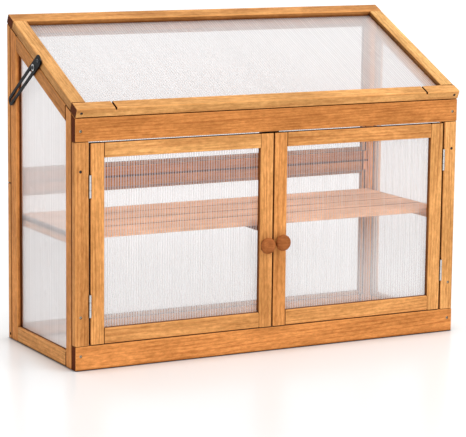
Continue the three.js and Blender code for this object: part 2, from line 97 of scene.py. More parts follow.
# Painted shade, where light is lost in crevices, recesses, grooves and holes
CREVICE = 10 * MM  # how far from a neighbour the painted shade on the wood reaches
SLAT_RIM = 6 * MM  # the same from the long edges of a slat
GROOVE_REACH = 1.5  # how near the next board darkens an arris, in widths of the arris
GROOVE, SIDE_GROOVE, BACK_GROOVE = 0.5, 0.85, 0.7  # light lost between two boards
HOLE_SHADE = 0.95  # light lost inside a deep hole
COVERED = -1.0  # the recess of a face that a sheet covers, which gets no painted shade
LID_EDGE = 0.57  # the recess of the lid's outer side faces, for painted shade that darkens them
REVEALS = {  # the recess of a frame's inner faces, at the outside and at the sheet, for painted shade that deepens towards the sheet
    "frame": (0.74, 1.0),
    "side": (-0.4, 1.8),
    "lid_back_rail": (0.45, 0.95),
}

# How light and how red each board comes out: its stain, and painted light and shade that
# lighten boards the lamps leave too dark, such as the inner right corner and the bottom back
# rail, and darken others, such as the back frame. The last entry that a node's name holds is its own.
TINTS = {
    "back": (0.62, 0.9),
    "back_upper_bottom_rail": (0.60, 2.2),
    "back_upper_top_rail": (0.54, 2.6),
    "back_lower_bottom_rail": (1.12, -0.5),
    "left_stile": (0.80, 0.4),
    "right_stile": (1.15, -0.6),
    "front_fascia": (0.74, 1.9),
    "front_plinth": (0.83, 1.6),
    "front_left_stile": (0.72, 0.4),
    "front_right_stile": (0.89, -1.3),
    "door": (0.95, -0.3),
    "left_door_hinge_stile": (0.97, -0.5),
    "left_door_lock_stile": (0.82, -0.2),
    "right_door_hinge_stile": (0.93, -1.2),
    "right_door_lock_stile": (0.87, 0.8),
    "left_door_bottom_rail": (0.80, -0.4),
    "right_door_bottom_rail": (0.87, -0.5),
    "left_door_top_rail": (0.98, -1.6),
    "right_door_top_rail": (0.77, 0.1),
    "side": (0.74, 1.2),
    "side_sloped_rail": (0.58, 0.8),
    "side_bottom_rail": (0.76, -0.5),
    "side_back_stile": (0.84, 1.5),
    "right_side": (1.15, -0.6),
    "right_side_sloped_rail": (1.0, -2.0),
    "lid_front_rail": (0.88, -2.0),
    "lid_back_rail": (0.78, -1.0),
    "lid_left_stile": (0.81, -2.4),
    "lid_right_stile": (0.91, -4.0),
}
RED_GREEN, RED_BLUE = 0.07, 0.13  # green and blue that one step of redness takes

# Sheets
FLUTE_PITCH = 5.85 * MM
RIB_WIDTH = 1.1 * MM
RIB_DIP = 0.08 * MM
RIB_RELIEF = 0.2 * MM
RIB_CORE, RIB_EDGE = 0.06, 0.14  # where a rib's veil starts and ends to fade, in pitches
GAP_VEIL = 0.02  # how much of the view a skin takes between ribs
VEILS = {  # over a rib and its spread, seen edgewise, by dust on the lower part; a rib's grey
    "door": (0.62, 0.06, 0.40, 0.22, 230),
    "lid": (0.58, 0.24, 0.50, 0.0, 200),
    "side": (0.60, 0.25, 0.50, 0.0, 234),
    "back": (0.34, 0.08, 0.40, 0.0, 230),
}
DUST_LOW, DUST_HIGH = 130 * MM, 290 * MM  # heights where the dust is thickest and ends
SHADOW_VEIL = 0.20  # how much of its veil a sheet keeps for the light that passes it
VEIL_GLOW = 0.4  # the share of its light that a veil passes on
VEIL_COLOR = (246, 249, 251)
CLEAR_COLOR = (253, 252, 252)

# Metal and plastic
# how far the painted shade in a metal's crevices reaches
METAL_CREVICE = 6 * MM
SCRATCH_RELIEF = 0.05 * MM
METAL_EASE = 0.25 * MM
METAL_CORNER = math.radians(50)  # the least angle of an edge that is eased

# Hinges, whose leaves stand 0.4 mm off the plane through the barrel's axis
LEAF_INNER = 0.4 * MM
LEAF_OUTER = 1.6 * MM
LEAF_WIDTH = 16 * MM
LEAF_HEIGHT = 46 * MM
LEAF_CORNER = 1.5 * MM
LEAF_SCREW_SPACING = 16 * MM
LEAF_SCREW_RADIUS = 2.8 * MM
LEAF_SCREW_HEIGHT = 0.5 * MM
LEAF_SCREW_PROUD = 0.25 * MM
KNUCKLE_RADIUS = 2.4 * MM
KNUCKLE_RIM = 0.2 * MM
KNUCKLE_GAP = 0.4 * MM
KNUCKLE_BORE = 1.5 * MM
PIN_RADIUS = 1.2 * MM

# Screws
SCREW_INSET = 11.5 * MM  # from the cabinet's sides
SCREW_RADIUS = 2.6 * MM
SCREW_HEIGHT = 1.0 * MM
SCREW_RIM = 0.15 * MM
SCREW_FOOT, SCREW_FLAT = 0.8, 0.5  # radii of the foot and the flat top, as shares of the head's
SCREW_SINK = 1.2 * MM  # head below the wood
SCREW_TURN = 3  # radians over which the crosses are turned
HOLE_RADIUS = 3.1 * MM
STILE_SCREWS = (109.5 * MM, 404 * MM)  # the upper ones have dark heads
PLINTH_SCREW = 30 * MM
FASCIA_SCREW = 484.5 * MM
LID_SCREW = 10 * MM  # from the lid's underside
PILOT_HOLE = 10 * MM  # above the floor, in the back frame's left edge
PILOT_RADIUS = 3.6 * MM
PILOT_DEPTH = 3 * PILOT_RADIUS
CROSS_DEPTH = 1.1 * MM
CROSS_RISE = 0.3 * MM  # by which the cutting cross stands above the head
CROSS_REACH, CROSS_ARM, CROSS_FOOT = 0.62, 0.22, 0.3  # shares of the head and of the reach

# Strike plates of the door catch
STRIKE_THICK = 1.2 * MM
STRIKE_PROUD = 0.12 * MM  # of the door's inner face, less than the catch's clearance
STRIKE_RIM = 1.5 * MM  # wood left bare round the plate
STRIKE_CORNER = 1.2 * MM
STRIKE_SCREW = 2.3 * MM
STRIKE_SINK = 0.1 * MM

# Knobs
KNOB_RADIUS = 17 * MM
KNOB_LENGTH = 24 * MM
KNOB_EQUATOR = 12.5 * MM
KNOB_NECK = 6.5 * MM
KNOB_NECK_ROUND = 0.4 * MM
KNOB_FOOT = 8.5 * MM
KNOB_FOOT_HEIGHT = 2.5 * MM
KNOB_FOOT_RIM = 0.5 * MM

# Stay
WASHER_RADIUS = 7 * MM
WASHER_THICK = 1.2 * MM
WASHER_RIM = 0.2 * MM
SPACER_RADIUS = 6 * MM
SPACER_END = 2.8 * MM
SHANK_END = 5.4 * MM
BUSH_SHANK, BUSH_HEAD = 3.45 * MM, 4.5 * MM
LID_SHANK, LID_HEAD = 2.5 * MM, 4.0 * MM
STUD_FOOT = 0.3 * MM
STUD_HEAD_HEIGHT = 2.2 * MM
STUD_HEAD_RIM = 0.4 * MM

# Steps on round forms
ROUND_STEPS = 40
SCREW_STEPS = 28
HOLE_STEPS = 24
PIN_STEPS = 20
KNOB_STEPS = 56
KNOB_ARC_STEPS = 14
DOME_STEPS = 6
PLATE_CORNER_STEPS = 5
STRIKE_CORNER_STEPS = 4
ARRIS_STEPS = 2

# Angles and distances for the meshes
SMOOTH_BELOW = math.radians(40)
ARRIS_ABOVE = math.radians(35)
FLAT_BELOW = math.radians(1)
WELD = 0.01 * MM
NEARLY = 0.1 * MM
OVERRUN = 1 * MM  # by which cuts and joined solids reach past each other
LIP = 1 * MM  # the least depth of a rabbet's lip below the board's faces
ROUNDED_BELOW = 0.98  # cosine to the nearest of the board's axes
END_ABOVE = 0.8  # cosine to the grain
SQUARE_ABOVE, EDGEWISE_BELOW = 0.9, 0.1  # cosines of faces across an axis and along it
SEED = 7

# Floor and light
FLOOR_SIZE = 30
FLOOR_NEAR, FLOOR_FAR = 1.0, 6.0  # from the object, where the floor's own glow has its two values
GLOW_NEAR, GLOW_FAR = 0.24, 0.66
FLOOR_SHEEN = 0.22
FLOOR_ROUGHNESS = 0.25
FLOOR_WHITE = (0.77, 0.785, 0.79, 1)
FLOOR_DARK = (0.24, 0.24, 0.24, 1)  # painted shadow, right under the object's edges
CONTACT = 60 * MM  # how far from the object the painted shadow fades the floor's glow
TOUCH = 8 * MM  # how far from the object the painted shadow darkens the floor
AMBIENT = 0.6
WHITE = (1, 1, 1, 1)
LAMPS = {  # place, target, side of the square in metres, watts
    "key": ((1.6, -2.6, 2.4), (0, 0, 0.35), 2.4, 50),
    "fill": ((-2.7, -2.8, 0.9), (0, 0, 0.25), 2.0, 26),
    "top": ((0.2, -0.2, 3.2), (0, 0, 0.5), 2.5, 34),
    "back": ((-0.6, 3.2, 2.2), (0, 0, 0.3), 2.5, 25),
}

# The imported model
bodies = frame["record"]["behaviour"]["bodies"]
body_of_node = {node: body for body, nodes in bodies.items() for node in nodes}
slot_of_node = {part["node"]: part["material_slot"] for part in frame["record"]["subparts"]}
joint_place = {
    joint["name"]: Vector(joint["pos_m"]) for joint in frame["joints"] if "pos_m" in joint
}
plinth_low, plinth_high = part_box("front_plinth")
FRONT, LEFT, RIGHT = plinth_low.y, plinth_low.x, plinth_high.x
CENTER_X = (LEFT + RIGHT) / 2
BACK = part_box("back_lower_left_stile")[1].y
board_trees = {}
for node, obj in frame["nodes"].items():
    if slot_of_node[node] == "timber":
        corners = [vert.co for vert in obj.data.vertices]
        faces = [list(face.vertices) for face in obj.data.polygons]
        board_trees[node] = BVHTree.FromPolygons(corners, faces)


# Materials
def srgb(red, green, blue):
    def linear(value):
        value /= 255
        return value / 12.92 if value <= 0.04045 else ((value + 0.055) / 1.055) ** 2.4

    return (linear(red), linear(green), linear(blue), 1.0)


class Shader:
    """The node tree of a new material or world, with sockets set by value or by link."""

    def __init__(self, owner):
        self.owner = owner
        owner.use_nodes = True
        self.tree = owner.node_tree
        self.tree.nodes.clear()

    def put(self, socket, value):
        if isinstance(value, bpy.types.NodeSocket):
            self.tree.links.new(value, socket)
        else:
            socket.default_value = value

    def add(self, kind, inputs=None, output=0, **settings):
        node = self.tree.nodes.new(kind)
        for key, value in settings.items():
            setattr(node, key, value)
        for key, value in (inputs or {}).items():
            self.put(node.inputs[key], value)
        return node.outputs[output]

    def math(self, operation, *values, clamp=False):
        return self.add(
            "ShaderNodeMath", dict(enumerate(values)), operation=operation, use_clamp=clamp
        )

    def vector(self, operation, *values):
        return self.add("ShaderNodeVectorMath", dict(enumerate(values)), operation=operation)

    def attribute(self, name, output="Fac"):
        return self.add("ShaderNodeAttribute", output=output, attribute_name=name)

    def noise(self, vector, scale, detail=3.0, roughness=0.55):
        return self.add(
            "ShaderNodeTexNoise",
            {"Vector": vector, "Scale": scale, "Detail": detail, "Roughness": roughness},
        )

    def open_air(self, distance, samples=8):
        """1 where nothing stands within the distance, and less the closer things stand."""
        return self.add(
            "ShaderNodeAmbientOcclusion", {"Distance": distance}, output="AO", samples=samples
        )

    def spread(self, value, low, high, to_low=0.0, to_high=1.0, smooth=True):
        return self.add(
            "ShaderNodeMapRange",
            {0: value, 1: low, 2: high, 3: to_low, 4: to_high},
            interpolation_type="SMOOTHSTEP" if smooth else "LINEAR",
        )

    def blend(self, factor, first, second, mode="MIX"):
        """Two colours mixed. The node's sockets for colours are 0, 6 and 7, and 2 going out."""
        node = self.tree.nodes.new("ShaderNodeMix")
        node.data_type = "RGBA"
        node.blend_type = mode
        for key, value in ((0, factor), (6, first), (7, second)):
            self.put(node.inputs[key], value)
        return node.outputs[2]

    def tinted(self, color, light, green_power, blue_power):
        """The colour times a shade that takes more blue and green than red as it darkens."""
        shade = self.add(
            "ShaderNodeCombineColor",
            {
                0: light,
                1: self.math("POWER", light, green_power),
                2: self.math("POWER", light, blue_power),
            },
        )
        return self.blend(1.0, color, shade, mode="MULTIPLY")

    def finish(self, surface):
        kind = "World" if isinstance(self.owner, bpy.types.World) else "Material"
        output = self.tree.nodes.new(f"ShaderNodeOutput{kind}")
        self.tree.links.new(surface, output.inputs["Surface"])
        return self.owner


def knotted(shader, grain, color, dark):
    """The colour with a dark core in some cells of the wood."""
    cells = shader.add(
        "ShaderNodeTexVoronoi",
        {"Scale": KNOT_SCALE, "Vector": shader.vector("MULTIPLY", grain, KNOT_STRETCH)},
    ).node.outputs
    cell = shader.add("ShaderNodeSeparateColor", {0: cells["Color"]})
    chosen = shader.math("GREATER_THAN", cell, KNOTS_ABOVE)
    core = shader.spread(cells["Distance"], KNOT_CORE, KNOT_EDGE, KNOT_DEPTH, 0.0)
    return shader.blend(shader.math("MULTIPLY", chosen, core), color, dark)


def wood_shade(shader):
    """Light left after the painted shade, from 0 to 1: less than 1 near a neighbour, in a frame's
    recess, in a groove or hole, and along a slat's edges."""
    recess = shader.attribute("recess")
    shade = shader.math(
        "MAXIMUM",
        shader.spread(shader.open_air(CREVICE), 0.08, 0.88, 0.08, 1.0),
        shader.math("LESS_THAN", recess, COVERED / 2),  # 1 on covered faces
    )
    from_edge = shader.math(
        "SUBTRACT",
        shader.attribute("half_width"),
        shader.math("ABSOLUTE", shader.attribute("offside")),
    )
    for part in (
        shader.spread(recess, 0.4, 1.0, 1.0, 0.12, smooth=False),
        shader.math("SUBTRACT", 1.0, shader.attribute("joint")),
        shader.spread(from_edge, 0.0, SLAT_RIM, 0.15, 1.0),
    ):
        shade = shader.math("MULTIPLY", shade, part)
    return shade


def timber_material(name, early, late, dark_end, knots=True):
    """Stained softwood: rings round the pith, long fibres, blotches, a few knots, dark end grain,
    arrises lightened by wear and a painted highlight, and painted shade where boards meet, in
    recesses and crevices."""
    shader = Shader(bpy.data.materials.new(name))
    grain = shader.attribute("grain", "Vector")
    rings = shader.add(
        "ShaderNodeTexWave",
        {
            "Vector": shader.vector("MULTIPLY", grain, (RING_STRETCH, 1.0, 1.0)),
            "Scale": math.tau / RING_PHASE / RING_SPACING,
            "Distortion": RING_WAVER,
            "Detail": 3.0,
            "Detail Scale": 0.6,
            "Detail Roughness": 0.6,
        },
        output="Fac",
        wave_type="RINGS",
        rings_direction="X",
    )
    late_wood = shader.math("POWER", rings, 3.0)
    fibre, streak, blotch, mottle = (
        shader.noise(shader.vector("MULTIPLY", grain, (stretch, 1.0, 1.0)), *settings)
        for stretch, *settings in WOOD_NOISES.values()
    )
    depth = shader.math("MULTIPLY", late_wood, shader.spread(streak, 0.3, 0.75, 0.25, 1.0))
    color = shader.blend(shader.math("MULTIPLY", depth, RING_DEPTH), early, late)
    color = shader.blend(shader.spread(fibre, 0.35, 0.75, 0.0, FIBRE_DEPTH), color, late)
    lighter = shader.math(
        "MULTIPLY",
        shader.spread(blotch, 0.28, 0.72, 0.82, 1.17),
        shader.spread(mottle, 0.25, 0.75, 0.82, 1.18),
    )
    color = shader.tinted(color, lighter, 1.15, 1.4)
    # the board's tint, its stain with painted light and shade
    color = shader.blend(1.0, color, shader.attribute("tint", "Color"), mode="MULTIPLY")
    if knots:
        color = knotted(shader, grain, color, dark_end)
    end = shader.attribute("end_grain")
    speckle = shader.spread(shader.noise(grain, 1400.0, 2.0), 0.3, 0.7, 0.88, 1.0)
    color = shader.blend(shader.math("MULTIPLY", end, speckle), color, dark_end)
    # arrises lighter: wear, and a painted highlight along the rounded edges
    wear_and_highlight = shader.spread(fibre, 0.4, 0.6, 0.1, 0.5)
    color = shader.blend(shader.math("MULTIPLY", shader.attribute("arris"), wear_and_highlight), color, early)
    # painted shade: darker in crevices, recesses, grooves, holes and along slat edges
    color = shader.tinted(color, wood_shade(shader), 1.25, 1.5)
    coarse = shader.math("ADD", fibre, shader.math("MULTIPLY", blotch, 0.5))
    rough = shader.math(
        "ADD", shader.spread(coarse, 0.5, 1.1, 0.42, 0.62), shader.math("MULTIPLY", end, 0.25)
    )
    relief = shader.math(
        "ADD", shader.math("MULTIPLY", fibre, 0.6), shader.math("MULTIPLY", late_wood, 0.4)
    )
    bump = shader.add(
        "ShaderNodeBump", {"Strength": 0.45, "Distance": WOOD_RELIEF, "Height": relief}
    )
    return shader.finish(shader.add(
        "ShaderNodeBsdfPrincipled",
        {
            "Base Color": color,
            "Roughness": rough,
            "Normal": bump,
            "Specular IOR Level": WOOD_GLOSS,
        },
    ))


def sheet_material(name, over_rib, unevenness, edgewise, dusty, grey):
    """Twin-wall sheet: ribs scatter light, the flutes between them are nearly clear."""
    shader = Shader(bpy.data.materials.new(name))
    flute = shader.attribute("flute")
    rib = shader.spread(shader.math("PINGPONG", flute, 0.5), RIB_CORE, RIB_EDGE, 1.0, 0.0)
    index = shader.math("FLOOR", shader.math("ADD", flute, 0.5))
    chance = shader.add("ShaderNodeTexWhiteNoise", {"W": index}, noise_dimensions="1D")
    rib_veil = shader.spread(
        chance, 0.0, 1.0, over_rib - unevenness, over_rib + unevenness, smooth=False
    )
    over_gap = shader.math("MULTIPLY", rib, shader.math("SUBTRACT", rib_veil, GAP_VEIL))
    veil = shader.math("ADD", GAP_VEIL, over_gap)
    facing = shader.add("ShaderNodeLayerWeight", {"Blend": 0.5}, output="Facing")
    slant = shader.math("MULTIPLY", shader.spread(facing, 0.30, 0.75), edgewise)
    place = shader.add("ShaderNodeTexCoord", output="Object")
    height = shader.add("ShaderNodeSeparateXYZ", {0: place}, output="Z")
    slant = shader.math("ADD", slant, shader.spread(height, DUST_LOW, DUST_HIGH, dusty, 0.0))
    rest = shader.math("MULTIPLY", slant, shader.math("SUBTRACT", 1.0, veil))
    alpha = shader.math("ADD", veil, rest, clamp=True)
    for_shadow = shader.add("ShaderNodeLightPath", output="Is Shadow Ray")
    alpha = shader.math("MULTIPLY", alpha, shader.spread(for_shadow, 0.0, 1.0, 1.0, SHADOW_VEIL))
    color = shader.blend(rib, srgb(*VEIL_COLOR), srgb(grey, grey + 1, grey + 2))
    haze = shader.noise(shader.vector("MULTIPLY", place, (1.0, 1.0, 0.3)), 9.0)
    shine = shader.add(
        "ShaderNodeBsdfPrincipled",
        {
            "Base Color": color,
            "Roughness": shader.spread(haze, 0.3, 0.7, 0.18, 0.30),
            "Normal": shader.add(
                "ShaderNodeBump", {"Strength": 0.3, "Distance": RIB_RELIEF, "Height": rib}
            ),
            "Specular IOR Level": 0.5,
        },
    )
    glow = shader.add("ShaderNodeBsdfTranslucent", {"Color": color})
    body = shader.add("ShaderNodeMixShader", {0: VEIL_GLOW, 1: shine, 2: glow})
    clear = shader.add("ShaderNodeBsdfTransparent", {"Color": srgb(*CLEAR_COLOR)})
    return shader.finish(shader.add("ShaderNodeMixShader", {0: alpha, 1: clear, 2: body}))


def metal_material(name, color, worn, rough, metallic=1.0, scale=160.0, gloss=0.5):
    """Plated or coated metal: cloudy roughness, fine scratches, lighter wear, painted shade in crevices."""
    shader = Shader(bpy.data.materials.new(name))
    place = shader.add("ShaderNodeTexCoord", output="Object")
    cloud = shader.noise(place, scale, 4.0)
    scratch = shader.noise(shader.vector("MULTIPLY", place, (1.0, 1.0, 0.08)), scale * 9, 2.0)
    wear = shader.spread(shader.math("MULTIPLY", cloud, scratch), 0.28, 0.42)
    # painted shade in crevices
    shade = shader.spread(shader.open_air(METAL_CREVICE), 0.2, 0.9, 0.3, 1.0)
    mixed = shader.blend(shader.math("MULTIPLY", wear, 0.5), color, worn)
    return shader.finish(shader.add(
        "ShaderNodeBsdfPrincipled",
        {
            "Base Color": shader.tinted(mixed, shade, 1.1, 1.2),
            "Metallic": metallic,
            "Specular IOR Level": gloss,
            "Roughness": shader.spread(cloud, 0.3, 0.7, *rough),
            "Normal": shader.add(
                "ShaderNodeBump",
                {"Strength": 0.2, "Distance": SCRATCH_RELIEF, "Height": scratch},
            ),
        },
    ))


screw_material = metal_material(
    "passivated_steel", srgb(190, 178, 156), srgb(222, 214, 198), rough=(0.36, 0.52)
)
dark_steel = metal_material(
    "dark_steel", srgb(70, 70, 72), srgb(150, 150, 152), rough=(0.30, 0.45)
)
sheet_materials = {
    part: sheet_material(f"{part}_sheet", *veils) for part, veils in VEILS.items()
}
materials = {
    "timber": timber_material(
        "honey_timber", srgb(242, 170, 99), srgb(168, 91, 41), srgb(72, 22, 6)
    ),
    "shelf_timber": timber_material(
        "pale_timber", srgb(240, 184, 142), srgb(186, 122, 86), srgb(112, 62, 38)
    ),
    "knob_wood": timber_material(
        "knob_timber", srgb(182, 109, 59), srgb(134, 71, 35), srgb(100, 48, 22), knots=False
    ),
    "zinc": metal_material(
        "zinc_plate", srgb(188, 189, 190), srgb(226, 227, 228), rough=(0.24, 0.42)
    ),
    "black_steel": metal_material(
        "black_coat", srgb(10, 10, 11), srgb(30, 31, 32), rough=(0.34, 0.50), metallic=0.0,
        scale=90.0, gloss=0.06,
    ),
    "catch_plastic": metal_material(
        "brown_plastic", srgb(86, 56, 38), srgb(122, 86, 62), rough=(0.38, 0.55), metallic=0.0,
        scale=60.0,
    ),
}


# Geometry helpers
def add_object(name, bm, material):
    mesh = bpy.data.meshes.new(name)
    bm.normal_update()
    for edge in bm.edges:
        edge.smooth = len(edge.link_faces) == 2 and edge.calc_face_angle(0) < SMOOTH_BELOW
    for face in bm.faces:
        face.smooth = True
    bm.to_mesh(mesh)
    bm.free()
    mesh.materials.append(material)
    obj = bpy.data.objects.new(name, mesh)
    bpy.context.scene.collection.objects.link(obj)
    return obj


def weighted(obj):
    modifier = obj.modifiers.new("normals", "WEIGHTED_NORMAL")
    modifier.keep_sharp = True
    return obj


def seat(obj, body):
    """Lets a piece move with a body."""
    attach(obj, body)
    return obj


def placed(bm, node, kind):
    """A finished mesh in place of a node."""
    slot = slot_of_node[node]
    obj = add_object(f"{node}_{kind}", bm, materials[slot])
    seat(weighted(obj), body_of_node[node])
    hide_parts(node)
    return obj


def cleaned(node):
    """The node's solid as a welded mesh with whole flat faces."""
    bm = bmesh.new()
    bm.from_mesh(frame["nodes"][node].data)
    bmesh.ops.remove_doubles(bm, verts=bm.verts, dist=WELD)
    bmesh.ops.dissolve_limit(bm, angle_limit=FLAT_BELOW, verts=bm.verts, edges=bm.edges)
    return bm


def eased(bm, width, least_angle=ARRIS_ABOVE):
    """The mesh with its sharp edges rounded."""
    edges = [e for e in bm.edges if len(e.link_faces) == 2 and e.calc_face_angle(0) > least_angle]
    bmesh.ops.bevel(
        bm, geom=edges, offset=width, segments=ARRIS_STEPS, profile=0.5, affect="EDGES",
        clamp_overlap=True,
    )
    return bm


def rounded_corners(bm, edges, radius, steps):
    bmesh.ops.bevel(
        bm, geom=edges, offset=radius, segments=steps, profile=0.5, affect="EDGES"
    )


def combined(bm, other, operation):
    """One closed mesh from two, by an exact boolean."""
    objects = []
    for source in (bm, other):
        mesh = bpy.data.meshes.new("combine")
        source.to_mesh(mesh)
        source.free()
        obj = bpy.data.objects.new("combine", mesh)
        bpy.context.scene.collection.objects.link(obj)
        objects.append(obj)
    modifier = objects[0].modifiers.new("combine", "BOOLEAN")
    modifier.operation = operation
    modifier.solver = "EXACT"
    modifier.object = objects[1]
    result = bmesh.new()
    seen = objects[0].evaluated_get(bpy.context.evaluated_depsgraph_get())
    result.from_mesh(seen.to_mesh())
    seen.to_mesh_clear()
    for obj in objects:
        mesh = obj.data
        bpy.data.objects.remove(obj)
        bpy.data.meshes.remove(mesh)
    return result


def merged(*meshes):
    """Several meshes in one, unjoined."""
    whole = bmesh.new()
    for bm in meshes:
        mesh = bpy.data.meshes.new("part")
        bm.to_mesh(mesh)
        bm.free()
        whole.from_mesh(mesh)
        bpy.data.meshes.remove(mesh)
    return whole


def lathe(profile, steps=ROUND_STEPS):
    """A closed solid of revolution about Z from (radius, height) points. It starts and ends on
    the axis."""
    bm = bmesh.new()
    rings = []
    for radius, height in profile:
        if radius == 0:
            rings.append([bm.verts.new((0, 0, height))])
            continue
        rings.append([
            bm.verts.new((
                radius * math.cos(math.tau * k / steps), radius * math.sin(math.tau * k / steps),
                height,
            ))
            for k in range(steps)
        ])
    for low, high in zip(rings, rings[1:]):
        for k in range(steps):
            following = (k + 1) % steps
            corners = (
                low[k % len(low)], low[following % len(low)],
                high[following % len(high)], high[k % len(high)],
            )
            bm.faces.new(list(dict.fromkeys(corners)))
    bmesh.ops.recalc_face_normals(bm, faces=bm.faces)
    return bm


def rod(radius, low, high, steps):
    return lathe([(0, low), (radius, low), (radius, high), (0, high)], steps)


def box_mesh(low, high):
    bm = bmesh.new()
    bmesh.ops.create_cube(bm, size=1)
    low, high = Vector(low), Vector(high)
    for vert in bm.verts:
        vert.co = Vector(low[k] + (high[k] - low[k]) * (vert.co[k] + 0.5) for k in range(3))
    return bm


def basis(origin, right, up, out):
    """The matrix that takes own X, Y and Z to three directions at a place."""
    return Matrix.Translation(origin) @ Matrix((right, up, out)).transposed().to_4x4()


def facing_out(place, normal):
    """A placing whose own Z looks along the normal."""
    side = Vector(normal).orthogonal().normalized()
    return basis(place, side, Vector(normal).cross(side), Vector(normal))


def moved(bm, matrix):
    bmesh.ops.transform(bm, matrix=matrix, verts=bm.verts)
    return bm


def drilled(bm, holes):
    """The mesh with a round recess at each (place, outward normal, radius, depth)."""
    for place, normal, radius, depth in holes:
        tool = rod(radius, -depth, OVERRUN, HOLE_STEPS)
        bm = combined(bm, moved(tool, facing_out(place, normal)), "DIFFERENCE")
    return bm


# Boards
def grain_axes(node):
    """Unit vectors along, across and through the board."""
    if "sloped_rail" in node:
        return UP_SLOPE, OFF_SLOPE, X
    if node in ("lid_left_stile", "lid_right_stile"):
        return UP_SLOPE, X, OFF_SLOPE
    if node.startswith("lid_"):
        return X, UP_SLOPE, OFF_SLOPE
    if "side_bottom_rail" in node or "cleat" in node:
        return Y, Z, X
    if "side" in node:
        return Z, Y, X
    if "stile" in node:
        return Z, X, Y
    if node == "shelf":
        return X, Y, Z
    return X, Z, Y


def is_soft(node):
    """Whether the board has the wider arrises."""
    return "side" in node or node.startswith("back")


def arris(node):
    """How wide the board's edges are rounded."""
    return SOFT_ARRIS if is_soft(node) else ARRIS


def tint(node):
    """The colour of this board's wood: its stain, with painted light and shade."""
    light, red = 1.0, 0.0
    for part, values in TINTS.items():
        if part in node:
            light, red = values
    return Vector((light, light * (1 - RED_GREEN * red), light * (1 - RED_BLUE * red), 1.0))


def new_wood(node, rng):
    """Where the pith lies, how the grain runs, and how light and red one board or slat comes out:
    its stain with painted light and shade.
    """
    turn, far = rng.uniform(0, math.tau), rng.uniform(PITH_NEAR, PITH_FAR)
    along = rng.uniform(-GRAIN_SHIFT, GRAIN_SHIFT)
    shift = Vector((along, far * math.cos(turn), far * math.sin(turn)))
    color = tint(node) * rng.uniform(*BATH_SPREAD)
    return shift, rng.uniform(-GRAIN_TILT, GRAIN_TILT), color


def joint_shade(node, place, rounded):
    """How much light is lost in the groove between this board and the next of its body, and
    inside a deep hole."""
    reach = GROOVE_REACH * arris(node)
    if node in board_trees and board_trees[node].find_nearest(place, reach)[0] is None:
        return HOLE_SHADE
    for other, tree in board_trees.items() if rounded else ():
        if other != node and body_of_node[other] == body_of_node[node]:
            if tree.find_nearest(place, reach)[0] is not None:
                if node.startswith("back"):
                    return BACK_GROOVE
                return SIDE_GROOVE if "side" in node else GROOVE
    return 0.0


def store_grain(obj, node, axes, rng, strips=1, ends_shown=True):
    """Writes for the shader the board's own coordinates, its tint, its ends, arrises and grooves,
    and how far a point lies off the middle of its strip. A node of several strips side by side
    gives each strip its own wood."""
    mesh = obj.data
    coords = [Vector([vert.co.dot(axis) for axis in axes]) for vert in mesh.vertices]
    low, high = min(c.y for c in coords), max(c.y for c in coords)
    middle = (min(c.z for c in coords) + max(c.z for c in coords)) / 2
    start = sum(c.x for c in coords) / len(coords)
    woods = [new_wood(node, rng) for _ in range(strips)]
    for name, kind, domain in (
        ("grain", "FLOAT_VECTOR", "POINT"), ("tint", "FLOAT_COLOR", "POINT"),
        ("offside", "FLOAT", "POINT"), ("half_width", "FLOAT", "POINT"),
        ("end_grain", "FLOAT", "FACE"), ("arris", "FLOAT", "FACE"), ("joint", "FLOAT", "FACE"),
        ("recess", "FLOAT", "CORNER"),
    ):
        mesh.attributes.new(name, kind, domain)
    data = {name: attribute.data for name, attribute in mesh.attributes.items()}
    for index, point in enumerate(coords):
        strip = min(int((point.y - low) / (high - low) * strips), strips - 1)
        shift, tilt, color = woods[strip]
        center = low + (high - low) * (strip + 0.5) / strips
        data["grain"][index].vector = (
            point.x + shift.x,
            point.y - center + shift.y + tilt * (point.x - start),
            point.z - middle + shift.z,
        )
        data["tint"][index].color = color
        data["offside"][index].value = point.y - center
        inside = strips > 1 and min(point.y - low, high - point.y) > 2 * ARRIS
        data["half_width"][index].value = (high - low) / strips / 2 if inside else 1.0
    for face in mesh.polygons:
        turned = [abs(face.normal.dot(axis)) for axis in axes]
        rounded = ends_shown and max(turned) < ROUNDED_BELOW
        data["end_grain"][face.index].value = float(ends_shown and turned[0] > END_ABOVE)
        data["arris"][face.index].value = float(rounded)
        data["joint"][face.index].value = joint_shade(node, face.center, rounded)
    store_recess(mesh, node, axes[2], coords)


